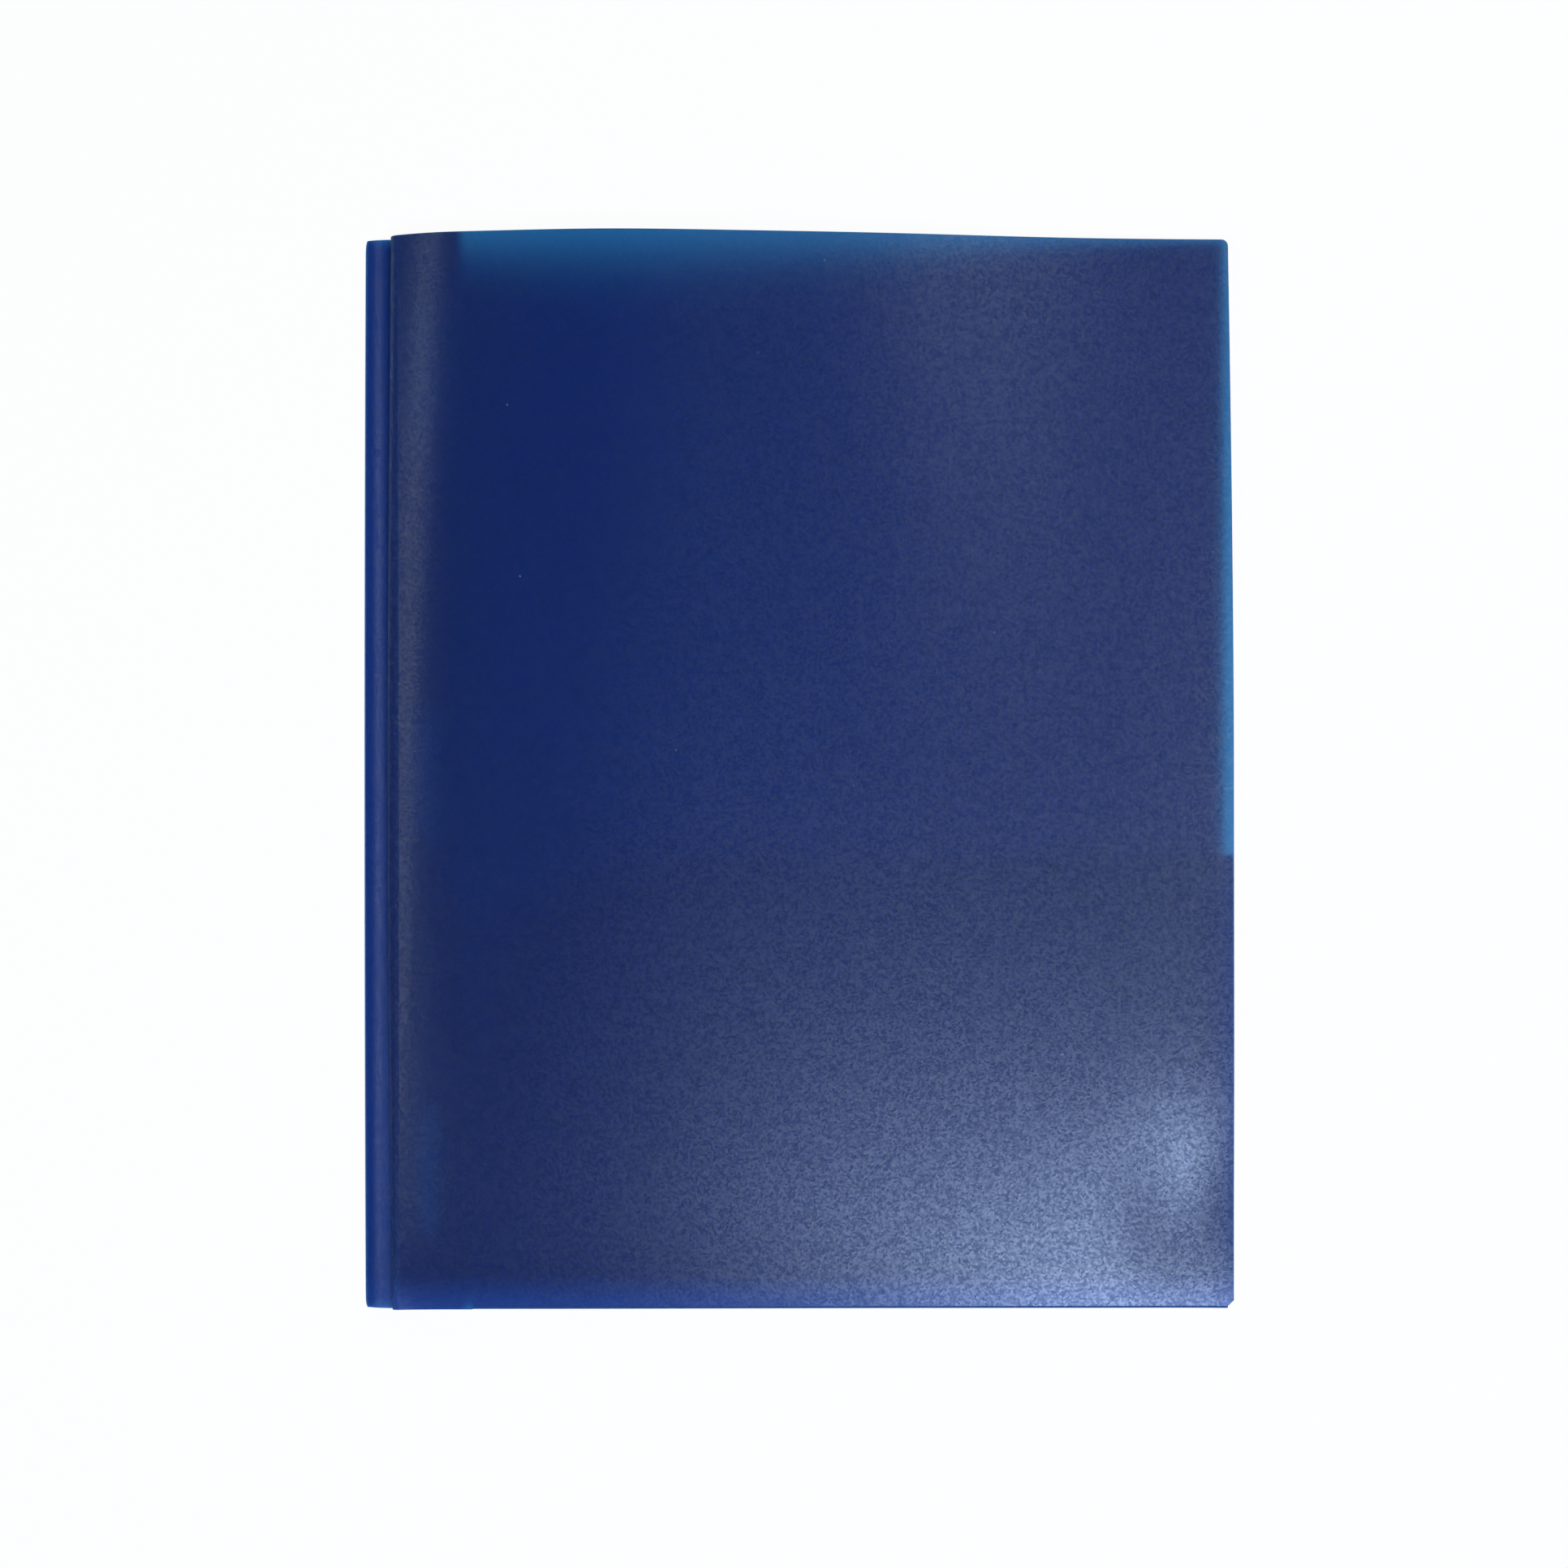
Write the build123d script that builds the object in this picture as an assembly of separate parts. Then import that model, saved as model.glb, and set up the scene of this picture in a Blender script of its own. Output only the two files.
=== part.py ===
from build123d import *
import os

# Two pocket folder of polypropylene sheet, lying closed on its back cover.
# +X runs from the spine to the free edges, +Y to the top edge, +Z up.
# The origin is the middle of the footprint, on the surface that the folder lies on.

# Overall sizes in millimetres
closed_width = 238.0
folder_height = 292.1
sheet = 0.5

# Back cover and spine
back_inset = 2.4
crease_radius = 1.4
spine_width = 8.1
score_width = 1.2
score_web = 0.3
corner_radius = 1.8

# Binding strip: the sheet turned back on itself beside the spine, with the fasteners in the fold
binding_width = 17.6
fastener_metal = 0.25
fastener_spacing = 107.95
fastener_base_length = 14.0
fastener_base_width = 6.4
tang_length = 17.0
tang_width = 4.6
slot_clearance = 0.2

# Pockets: each is turned up from the bottom edge and welded along the free edge
pocket_height = 124.0
pocket_gap = 0.35
pocket_clearance = 0.35
pocket_slope_run = 59.0
pocket_slope_drop = 24.0
pocket_corner_radius = 5.0
pocket_tip_clearance = 3.0
back_pocket_inset = 13.4
weld_width = 2.0
fold_relief = 1.6

# Front cover: nearly flat over the pockets, arched along the top edge
roll_depth = 2.0
roll_swell = 1.4
roll_inset = 8.33
cover_low_rise = 1.6
cover_arch_rise = 14.05
cover_pull_in = 1.6

# The cover's rise over its free edge, as shares of its width and of the rise
low_rise_shares = ((0, 1.66), (0.015, 1.2), (0.045, 1), (0.24, 1), (0.4, 0.55), (0.6, 0.04), (0.8, 0), (1, 0))
arch_rise_shares = ((0, 0.47), (0.03, 0.62), (0.1, 0.8), (0.24, 1), (0.4, 0.88), (0.6, 0.58), (0.8, 0.17), (1, 0))
# Shares of the folder's height, and how much of the arch and of the roll's swell is there
height_shares = (0, 0.25, 0.45, 0.65, 0.82, 1)
arch_growth_shares = (0, 0, 0.05, 0.4, 0.68, 1)
roll_swell_shares = (0, 0.7, 1, 0.9, 0.6, 0.2)
pull_in_start_share = 0.5
fold_section_count = 17

# How far the cover's layers run past the outlines that trim them
trim_overrun = 1.0

# Places that follow from the sizes
left = -closed_width / 2
right = closed_width / 2
bottom = -folder_height / 2
top = folder_height / 2
crease_x = left + crease_radius
strip_crease_x = crease_x + spine_width
binding_tip_x = strip_crease_x + binding_width
roll_x = left + roll_inset + roll_depth
back_right = right - back_inset
back_pocket_inner = crease_x + back_pocket_inset
front_pocket_inner = binding_tip_x + pocket_tip_clearance
fastener_x = (strip_crease_x + binding_tip_x) / 2
fastener_places = {"top": fastener_spacing, "middle": 0, "bottom": -fastener_spacing}

# Levels of the lower faces of the layers
strip_level = 2 * crease_radius - sheet
binding_top_level = strip_level + sheet + fastener_metal
tang_level = binding_top_level + sheet
back_pocket_level = sheet + pocket_gap
front_pocket_level = back_pocket_level + sheet + pocket_clearance
cover_level = front_pocket_level + sheet + pocket_gap

tip_radius = sheet + fastener_metal / 2
fold_radius = sheet + pocket_gap / 2
fold_line = bottom + fold_radius
cover_span = right - roll_x
headroom = cover_level + 2 * cover_arch_rise

# The cover's sections as (share of the height, growth), run straight on past both ends
trim_share = trim_overrun / folder_height
growth_slope = (arch_growth_shares[-1] - arch_growth_shares[-2]) / (height_shares[-1] - height_shares[-2])
cover_sections = [
    (-trim_share, arch_growth_shares[0]),
    *zip(height_shares[1:-1], arch_growth_shares[1:-1]),
    (1 + trim_share, arch_growth_shares[-1] + growth_slope * trim_share),
]


def block(x_from, x_to, y_from, y_to, z_from, z_to):
    corner = Align.MIN
    size = Box(x_to - x_from, y_to - y_from, z_to - z_from, align=(corner, corner, corner))
    return Pos(x_from, y_from, z_from) * size


def cross_plane(y):
    # local x is X and local y is Z, in the plane across the folder at y
    return Plane((0, y, 0), x_dir=(1, 0, 0), z_dir=(0, -1, 0))


def side_plane(x):
    # local x is Y and local y is Z, in the plane along the folder at x
    return Plane((x, 0, 0), x_dir=(0, 1, 0), z_dir=(1, 0, 0))


def bent_strip(outer, inner):
    # a strip of the sheet between two arcs
    ends = [Line(outer @ 0, inner @ 0), Line(outer @ 1, inner @ 1)]
    return make_face([outer, inner, *ends])


def half_tube(radius, start_angle):
    # the sheet folded back on itself, in half a circle about the origin
    outer = CenterArc((0, 0), radius, start_angle, 180)
    inner = CenterArc((0, 0), radius - sheet, start_angle, 180)
    return bent_strip(outer, inner)


def half_oval(depth, half_height):
    # the same fold drawn out into half an ellipse, open towards +x
    outer = EllipticalCenterArc((0, 0), depth, half_height, 90, arc_size=180)
    inner = EllipticalCenterArc((0, 0), depth - sheet, half_height - sheet, 90, arc_size=180)
    return bent_strip(outer, inner)


def cover_points(growth):
    # the cover's lower face in a cross plane, mixed from the low line and the arched line
    count = len(low_rise_shares)
    points = []
    for i in range(count):
        low_x, low_z = low_rise_shares[i]
        arch_x, arch_z = arch_rise_shares[i]
        x = roll_x + cover_span * (low_x + (arch_x - low_x) * growth)
        rise = cover_low_rise * low_z * (1 - growth) + cover_arch_rise * arch_z * growth
        points.append(Vector(x, cover_level + rise))
    return points


def past_edge(curve):
    # straight on from the curve's end, past the free edge
    return Line(curve @ 1, curve @ 1 + curve % 1 * trim_overrun)


def cover_layer(drop, thickness):
    # a layer that follows the cover, its lower face at drop under the cover's
    faces = []
    for share, growth in cover_sections:
        low = [point - Vector(0, drop) for point in cover_points(growth)]
        high = [point + Vector(0, thickness) for point in low]
        under = Spline(*low)
        over = Spline(*high)
        under_run = past_edge(under)
        over_run = past_edge(over)
        sides = [Line(under @ 0, over @ 0), Line(under_run @ 1, over_run @ 1)]
        outline = make_face([under, under_run, over, over_run, *sides])
        faces.append(cross_plane(bottom + folder_height * share) * outline)
    return loft(faces, ruled=True)


def upright(outline, z_from, z_to):
    # the plan outline as a prism between two levels
    return Pos(0, 0, z_from) * extrude(outline, amount=z_to - z_from)


def corner_at(outline, x, y):
    return outline.vertices().sort_by_distance(Vector(x, y))[0]


def panel_outline(x_inner, x_outer, pocket_inner, pull_in):
    # a cover in plan: cut edge beside the spine, fold line along the pocket, bevelled lower corner
    pull_start = bottom + folder_height * pull_in_start_share
    points = [
        (x_inner, bottom),
        (pocket_inner, bottom),
        (pocket_inner, fold_line),
        (x_outer - fold_relief, fold_line),
        (x_outer, fold_line + fold_relief),
        (x_outer, pull_start),
        (x_outer - pull_in, top),
        (x_inner, top),
    ]
    outline = make_face(Polyline(*points, close=True))
    return fillet(corner_at(outline, x_outer - pull_in, top), corner_radius)


def pocket_outline(x_inner, x_outer):
    # a pocket in plan: level mouth, sloping down towards the spine
    mouth = bottom + pocket_height
    points = [
        (x_inner, fold_line),
        (x_outer - fold_relief, fold_line),
        (x_outer, fold_line + fold_relief),
        (x_outer, mouth),
        (x_inner + pocket_slope_run, mouth),
        (x_inner, mouth - pocket_slope_drop),
    ]
    outline = make_face(Polyline(*points, close=True))
    return fillet(corner_at(outline, x_inner, mouth - pocket_slope_drop), pocket_corner_radius)


def weld_outline(x_outer):
    # the melted seam that closes a pocket along the free edge, in plan
    start = fold_line + fold_relief
    length = bottom + pocket_height - start
    return Pos(x_outer, start) * Rectangle(weld_width, length, align=(Align.MAX, Align.MIN))


def back_cover():
    outline = panel_outline(crease_x, back_right, back_pocket_inner, 0)
    return upright(outline, 0, sheet)


def back_pocket():
    return upright(pocket_outline(back_pocket_inner, back_right), back_pocket_level, back_pocket_level + sheet)


def back_pocket_fold():
    # the lower edge turned up through half a circle
    ring = side_plane(back_pocket_inner) * Pos(fold_line, fold_radius) * half_tube(fold_radius, 90)
    return extrude(ring, amount=back_right - fold_relief - back_pocket_inner, dir=(1, 0, 0))


def back_pocket_weld():
    return upright(weld_outline(back_right), sheet, back_pocket_level)


def back_crease():
    # the living hinge between the back cover and the spine, folded through half a circle
    ring = cross_plane(top) * Pos(crease_x, crease_radius) * half_tube(crease_radius, 90)
    return extrude(ring, amount=folder_height, dir=(0, -1, 0))


def spine_panel():
    return block(crease_x, strip_crease_x - score_width / 2, bottom, top, strip_level, strip_level + sheet)


def spine_crease():
    # the scored line between the spine and the binding strip, grooved from above
    x_from = strip_crease_x - score_width / 2
    x_to = strip_crease_x + score_width / 2
    high = strip_level + sheet
    points = [(x_from, strip_level), (x_to, strip_level), (x_to, high), (strip_crease_x, strip_level + score_web)]
    outline = cross_plane(top) * make_face(Polyline(*points, (x_from, high), close=True))
    return extrude(outline, amount=folder_height, dir=(0, -1, 0))


def binding_lower():
    x_from = strip_crease_x + score_width / 2
    return block(x_from, binding_tip_x - tip_radius, bottom, top, strip_level, strip_level + sheet)


def binding_tip():
    # the fold along the binding strip's free edge
    ring = half_tube(tip_radius, -90)
    placed = cross_plane(top) * Pos(binding_tip_x - tip_radius, strip_level + tip_radius) * ring
    return extrude(placed, amount=folder_height, dir=(0, -1, 0))


def binding_upper():
    layer = block(roll_x, binding_tip_x - tip_radius, bottom, top, binding_top_level, tang_level)
    half_width = tang_width / 2 + slot_clearance
    half_length = fastener_metal + slot_clearance
    for y in fastener_places.values():
        x_from = fastener_x - half_width
        layer -= block(
            x_from, fastener_x + half_width, y - half_length, y + half_length, binding_top_level, tang_level
        )
    return layer


def fastener(y):
    # one stamped strip: a base between the layers, two stems through the slot, two tangs turned down flat
    half_width = tang_width / 2
    stem = fastener_metal
    base_z = strip_level + sheet
    base = SlotOverall(fastener_base_length, fastener_base_width, rotation=90)
    piece = Pos(fastener_x, y, base_z) * extrude(base, amount=fastener_metal)
    piece += block(
        fastener_x - half_width, fastener_x + half_width, y - stem, y + stem, binding_top_level, tang_level
    )
    reach = stem + tang_length
    tangs = SlotOverall(2 * reach, tang_width, rotation=90)
    piece += Pos(fastener_x, y, tang_level) * extrude(tangs, amount=fastener_metal)
    return piece


def front_roll():
    # the soft roll between the binding strip and the front cover, taller towards the top edge
    faces = []
    for share, growth, swell_share in zip(height_shares, arch_growth_shares, roll_swell_shares):
        roll_top = cover_points(growth)[0].Y + sheet
        depth = roll_depth + roll_swell * swell_share
        half = (roll_top - binding_top_level) / 2
        middle = (roll_top + binding_top_level) / 2
        ring = Pos(roll_x, middle) * half_oval(depth, half)
        faces.append(cross_plane(bottom + folder_height * share) * ring)
    return loft(faces, ruled=True)


def front_cover():
    layer = cover_layer(0, sheet)
    outline = panel_outline(roll_x - trim_overrun, right, front_pocket_inner, cover_pull_in)
    return layer & upright(outline, 0, headroom)


def front_pocket():
    layer = cover_layer(pocket_gap + sheet, sheet)
    return layer & upright(pocket_outline(front_pocket_inner, right), 0, headroom)


def front_pocket_weld():
    layer = cover_layer(pocket_gap, pocket_gap)
    return layer & upright(weld_outline(right), 0, headroom)


def front_pocket_fold():
    # half circles set along the cover's lower edge, joined by straight runs
    edge = Spline(*cover_points(0))
    start = front_pocket_inner
    end = right - fold_relief
    faces = []
    for i in range(fold_section_count):
        x = start + (end - start) * i / (fold_section_count - 1)
        upward = Line((x, 0), (x, headroom))
        under = edge.intersect(upward)[0]
        middle = under.Y - pocket_gap / 2
        ring = Pos(fold_line, middle) * half_tube(fold_radius, 90)
        faces.append(side_plane(x) * ring)
    return loft(faces, ruled=True)


nodes = {
    "back_cover": back_cover(),
    "back_pocket": back_pocket(),
    "back_pocket_fold": back_pocket_fold(),
    "back_pocket_weld": back_pocket_weld(),
    "back_crease": back_crease(),
    "spine_panel": spine_panel(),
    "spine_crease": spine_crease(),
    "binding_lower": binding_lower(),
    "binding_tip": binding_tip(),
    "binding_upper": binding_upper(),
    "front_roll": front_roll(),
    "front_cover": front_cover(),
    "front_pocket": front_pocket(),
    "front_pocket_fold": front_pocket_fold(),
    "front_pocket_weld": front_pocket_weld(),
}
for place, y in fastener_places.items():
    nodes[f"fastener_{place}"] = fastener(y)

os.makedirs("parts", exist_ok=True)
for name, piece in nodes.items():
    export_step(piece, f"parts/{name}.step")
    print(name, round(piece.volume, 1))
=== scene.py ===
import math

import bpy
import numpy as np
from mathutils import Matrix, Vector


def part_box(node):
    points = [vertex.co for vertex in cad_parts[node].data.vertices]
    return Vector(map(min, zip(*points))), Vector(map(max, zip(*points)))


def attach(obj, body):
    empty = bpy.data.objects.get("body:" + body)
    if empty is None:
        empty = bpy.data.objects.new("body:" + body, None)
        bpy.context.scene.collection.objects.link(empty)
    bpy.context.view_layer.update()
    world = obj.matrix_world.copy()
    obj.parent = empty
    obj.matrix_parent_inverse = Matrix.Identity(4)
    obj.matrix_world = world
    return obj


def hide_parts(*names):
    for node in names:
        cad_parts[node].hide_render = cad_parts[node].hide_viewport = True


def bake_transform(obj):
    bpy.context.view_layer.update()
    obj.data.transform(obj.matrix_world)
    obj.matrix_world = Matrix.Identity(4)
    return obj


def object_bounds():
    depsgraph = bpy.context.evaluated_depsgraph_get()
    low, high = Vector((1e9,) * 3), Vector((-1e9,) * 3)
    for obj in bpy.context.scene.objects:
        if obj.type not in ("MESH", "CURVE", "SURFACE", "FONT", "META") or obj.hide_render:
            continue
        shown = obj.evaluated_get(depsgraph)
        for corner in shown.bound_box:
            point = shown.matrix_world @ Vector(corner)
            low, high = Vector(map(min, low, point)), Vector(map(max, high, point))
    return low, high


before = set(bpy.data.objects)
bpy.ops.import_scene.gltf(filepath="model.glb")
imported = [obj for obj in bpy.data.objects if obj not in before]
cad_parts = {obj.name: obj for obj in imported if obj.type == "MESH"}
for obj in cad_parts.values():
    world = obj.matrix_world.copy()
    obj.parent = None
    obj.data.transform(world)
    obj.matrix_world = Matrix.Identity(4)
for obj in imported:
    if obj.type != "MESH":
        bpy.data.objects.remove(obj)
cadLow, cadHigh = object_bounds()
print("frame loaded with", len(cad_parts), "nodes")

mm = 0.001
sharpAngle = math.radians(40)  # faces that meet at more than this are shaded as an edge

# places that the pieces share, read from the frame
backLow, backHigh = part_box("back_cover")
spineLow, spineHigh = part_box("spine_panel")
scoreLow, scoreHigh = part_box("spine_crease")
lowerLow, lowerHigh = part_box("binding_lower")
upperLow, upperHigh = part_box("binding_upper")
tipLow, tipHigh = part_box("binding_tip")
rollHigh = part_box("front_roll")[1]
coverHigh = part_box("front_cover")[1]
frontPocketLow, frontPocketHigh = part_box("front_pocket")
backPocketLow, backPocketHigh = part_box("back_pocket")
frontWeldLow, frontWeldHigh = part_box("front_pocket_weld")
backWeldLow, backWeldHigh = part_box("back_pocket_weld")
sheet = backHigh.z - backLow.z
bottom, top = backLow.y, backHigh.y
height = top - bottom
foldLine = backPocketLow.y
pocketGap = backPocketLow.z - backHigh.z


# how shapes become pieces

def spread(start, end, step, crowd=0.0):
    # steps of about one size from start to end; crowd draws them towards both ends, as a cosine does
    t = np.linspace(0, 1, max(2, round(abs(end - start) / step) + 1))
    eased = (1 - np.cos(np.pi * t)) / 2
    return start + (end - start) * (t * (1 - crowd) + eased * crowd)


def marked(marks, step):
    # steps through a row of marks, each mark on a step
    runs = [spread(a, b, step)[1:] for a, b in zip(marks, marks[1:])]
    return np.concatenate([marks[:1], *runs])


def smoothLine(places, shares, at):
    # cubic spline through the points: slope and bend run on through each one, and neither end bends
    x = np.array(places, float)
    y = np.array(shares, float)
    step = np.diff(x)
    inner = np.arange(1, len(x) - 1)
    system = np.eye(len(x))
    system[inner, inner - 1] = step[:-1]
    system[inner, inner] = 2 * (step[:-1] + step[1:])
    system[inner, inner + 1] = step[1:]
    bend = np.linalg.solve(system, np.concatenate([[0], 6 * np.diff(np.diff(y) / step), [0]]))
    i = np.clip(np.searchsorted(x, at) - 1, 0, len(step) - 1)
    t = np.clip((at - x[i]) / step[i], 0, 1)
    bow = bend[i] * ((1 - t) ** 3 - (1 - t)) + bend[i + 1] * (t**3 - t)
    return y[i] * (1 - t) + y[i + 1] * t + bow * step[i] ** 2 / 6


def stacked(x, y, z):
    return np.stack(np.broadcast_arrays(x, y, z), -1)


def shell(over, under, kept=None):
    # a closed sheet between two grids of points;
    # cells that aren't kept stay open, with walls round them
    across, along = over.shape[:2]
    kept = np.ones((across - 1, along - 1), bool) if kept is None else kept
    up = np.arange(across * along).reshape(across, along)
    down = up + across * along
    rim = np.pad(kept, 1)
    i, j = np.nonzero(kept)
    faces = [
        np.stack([up[i, j], up[i + 1, j], up[i + 1, j + 1], up[i, j + 1]], 1),
        np.stack([down[i, j], down[i, j + 1], down[i + 1, j + 1], down[i + 1, j]], 1),
    ]
    i, j = np.nonzero(rim[:-1, 1:-1] & ~rim[1:, 1:-1])
    faces.append(np.stack([up[i, j], down[i, j], down[i, j + 1], up[i, j + 1]], 1))
    i, j = np.nonzero(~rim[:-1, 1:-1] & rim[1:, 1:-1])
    faces.append(np.stack([up[i, j], up[i, j + 1], down[i, j + 1], down[i, j]], 1))
    i, j = np.nonzero(rim[1:-1, :-1] & ~rim[1:-1, 1:])
    faces.append(np.stack([up[i + 1, j], down[i + 1, j], down[i, j], up[i, j]], 1))
    i, j = np.nonzero(~rim[1:-1, :-1] & rim[1:-1, 1:])
    faces.append(np.stack([up[i, j], down[i, j], down[i + 1, j], up[i + 1, j]], 1))
    points = np.concatenate([over.reshape(-1, 3), under.reshape(-1, 3)])
    used, corners = np.unique(np.concatenate(faces), return_inverse=True)
    return points[used], corners.reshape(-1, 4)


def bentShell(outer, thickness):
    # a sheet along a bent profile: the inner face lies one thickness in, along the surface normal
    normal = np.cross(np.gradient(outer, axis=0), np.gradient(outer, axis=1))
    normal /= np.linalg.norm(normal, axis=2, keepdims=True)
    return shell(outer, outer - normal * thickness)


def makePiece(name, node, slot, *shells):
    # joins closed shells into one mesh that stands for a node
    starts = np.cumsum([0] + [len(points) for points, corners in shells])
    points = np.concatenate([points for points, corners in shells])
    faces = np.concatenate([corners + start for (_, corners), start in zip(shells, starts)])
    mesh = bpy.data.meshes.new(name)
    mesh.from_pydata(points.tolist(), [], faces.tolist())
    mesh.shade_smooth()
    mesh.set_sharp_from_angle(angle=sharpAngle)
    piece = bpy.data.objects.new(name, mesh)
    bpy.context.scene.collection.objects.link(piece)
    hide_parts(node)
    return piece


# share, radians per metre along X and along Y, phase
sheetWaves = ((0.6, 38, 13, 0), (0.4, -11, 29, 1.3))


def faintWave(x, y, amount):
    # slow waves across each other, because thin sheet never lies quite flat
    waves = [share * np.sin(perX * x + perY * y + phase) for share, perX, perY, phase in sheetWaves]
    return amount * sum(waves)


def bentProfile(share, x, zLow, zHigh, depth, endSlope):
    # cubic from the lower layer round to the upper one, open towards +X, ending at a slope
    handle = 4 / 3 * depth  # a cubic reaches three quarters of the way to its handles
    a, b = (1 - share) ** 3, 3 * share * (1 - share) ** 2
    c, d = 3 * share**2 * (1 - share), share**3
    return x - (b + c) * handle, (a + b) * zLow + (c + d) * zHigh - c * handle * endSlope


# plans of the panels

cornerSteps = 9  # points round a corner
edgeCrowd = 0.3  # how far the steps draw together towards the top and bottom edges


def roundedDrop(x, edge, radius):
    # how far a rounded corner has fallen at x, on its way to the edge
    inside = np.clip(x - (edge - radius), 0, radius)
    return radius - np.sqrt(radius**2 - inside**2)


def panelPlan(start, end, tabEnd, shape):
    # a cover: a tab beside the spine reaches the bottom edge, the rest stops at the fold line
    body = marked([start, tabEnd, end - shape["corner"]], shape["step"])
    turn = np.linspace(0, np.pi / 2, cornerSteps)[1:]
    corner = end - shape["corner"] + shape["corner"] * np.sin(turn)
    x = np.concatenate([body, corner])
    low = foldLine + np.maximum(0, x - (end - shape["bevel"]))
    high = top - roundedDrop(x, end, shape["corner"])
    v = spread(0, 1, shape["step"] / height, edgeCrowd)
    y = low[:, None] + (high - low)[:, None] * v
    y = np.concatenate([np.full((len(x), 1), bottom), y], 1)
    x = np.repeat(x[:, None], y.shape[1], 1)
    kept = np.ones((x.shape[0] - 1, x.shape[1] - 1), bool)
    spare = shape["step"] / 10
    kept[:, 0] = x[:-1, 0] < tabEnd - spare
    return x, y, kept


def pocketPlan(start, end, mouth, shape):
    # a pocket: level mouth that slopes down towards the spine, with a rounded corner there
    lean = math.atan2(shape["slopeDrop"], shape["slopeRun"])
    radius = shape["innerCorner"]
    arcEnd = start + radius * (1 - math.sin(lean))
    turn = np.linspace(0, np.pi / 2 - lean, cornerSteps)[:-1]
    arc = start + radius - radius * np.cos(turn)
    marks = [arcEnd, start + shape["slopeRun"], end - shape["bevel"], end]
    x = np.concatenate([arc, marked(marks, shape["step"])])
    slope = mouth - math.tan(lean) * np.maximum(0, start + shape["slopeRun"] - x)
    centre = mouth - math.tan(lean) * (shape["slopeRun"] - radius) - radius / math.cos(lean)
    inside = np.clip(start + radius - x, 0, radius)
    high = np.where(x < arcEnd, centre + np.sqrt(radius**2 - inside**2), slope)
    low = foldLine + np.maximum(0, x - (end - shape["bevel"]))
    v = spread(0, 1, shape["step"] / (mouth - foldLine), edgeCrowd)
    y = low[:, None] + (high - low)[:, None] * v
    return np.repeat(x[:, None], len(v), 1), y


# back cover, flat on the table

backCover = {"corner": 1.8 * mm, "bevel": 1.6 * mm, "step": 4 * mm}


def buildBackCover():
    x, y, kept = panelPlan(backLow.x, backHigh.x, backPocketLow.x, backCover)
    plain = shell(stacked(x, y, backHigh.z), stacked(x, y, backLow.z), kept)
    return makePiece("back_cover_sheet", "back_cover", "folder_sheet", plain)


# back pocket, its fold along the bottom edge and its welded side

backPocket = {
    "slopeRun": 59 * mm,
    "slopeDrop": 24 * mm,
    "innerCorner": 5 * mm,
    "bevel": 1.6 * mm,
    "step": 4 * mm,
    "wave": 0.05 * mm,
    "foldTurns": 13,
}


def buildBackPocket():
    x, y = pocketPlan(backPocketLow.x, backPocketHigh.x, backPocketHigh.y, backPocket)
    held = np.sin(np.pi * np.clip((y - foldLine) / (backPocketHigh.y - foldLine), 0, 1) / 2)
    z = backPocketLow.z + faintWave(x, y, backPocket["wave"]) * held
    panel = shell(stacked(x, y, z + sheet), stacked(x, y, z))
    return makePiece("back_pocket_sheet", "back_pocket", "folder_sheet", panel)


def foldShell(x, middle, radius):
    # half a tube along the bottom edge, from the pocket's outer face round to the cover's
    angle = np.linspace(0, np.pi, backPocket["foldTurns"])
    x = x[:, None]
    middle = np.broadcast_to(middle, x.shape[:1])[:, None]
    outer = stacked(x, foldLine - radius * np.sin(angle), middle - radius * np.cos(angle))
    hollow = radius - sheet
    inner = stacked(x, foldLine - hollow * np.sin(angle), middle - hollow * np.cos(angle))
    return shell(outer, inner)


def buildBackFold():
    low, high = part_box("back_pocket_fold")
    x = spread(low.x, high.x, backPocket["step"])
    middle = (low.z + high.z) / 2
    tube = foldShell(x, middle, middle)
    return makePiece("back_fold_sheet", "back_pocket_fold", "folder_sheet", tube)


weldSeam = {
    "step": 1 * mm,
    "across": 4,
    "clear": 0.02 * mm,
    "ripple": 0.12 * mm,
    "rippleLength": 5 * mm,
    "rippleDrift": 9 * mm,  # the ripples draw together and apart over this length
}


def weldPlan(low, high):
    # the seam's inner edge is a little uneven, as a melted edge is
    y = spread(low.y, high.y, weldSeam["step"])
    phase = 2 * np.pi * y / weldSeam["rippleLength"] + np.sin(y / weldSeam["rippleDrift"])
    inner = low.x + weldSeam["ripple"] * (1 + np.sin(phase))
    share = np.linspace(0, 1, weldSeam["across"])[:, None]
    return inner + (high.x - inner) * share, np.broadcast_to(y, (len(share), len(y)))


def buildBackWeld():
    x, y = weldPlan(backWeldLow, backWeldHigh)
    clear = weldSeam["clear"]
    seam = shell(stacked(x, y, backWeldHigh.z - clear), stacked(x, y, backWeldLow.z + clear))
    return makePiece("back_weld_seam", "back_pocket_weld", "folder_sheet", seam)


# spine: a living hinge on the left, the strip that shows, and the scored line under the roll

backCrease = {
    "waist": 0.25,
    "endRound": 0.45,
    "endReach": 0.9 * mm,
    "endZone": 5 * mm,
    "endStep": 0.4 * mm,
    "step": 4 * mm,
    "turns": 17,
    "hinge": 0.001 * mm,  # it turns at one thin line beside the strip
}
spineStrip = {"drop": 1.5 * mm, "dropPower": 2.4, "stepAcross": 0.4 * mm, "stepAlong": 6 * mm}
spineScore = {"depth": 0.2 * mm, "across": 13, "step": 6 * mm}


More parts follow.
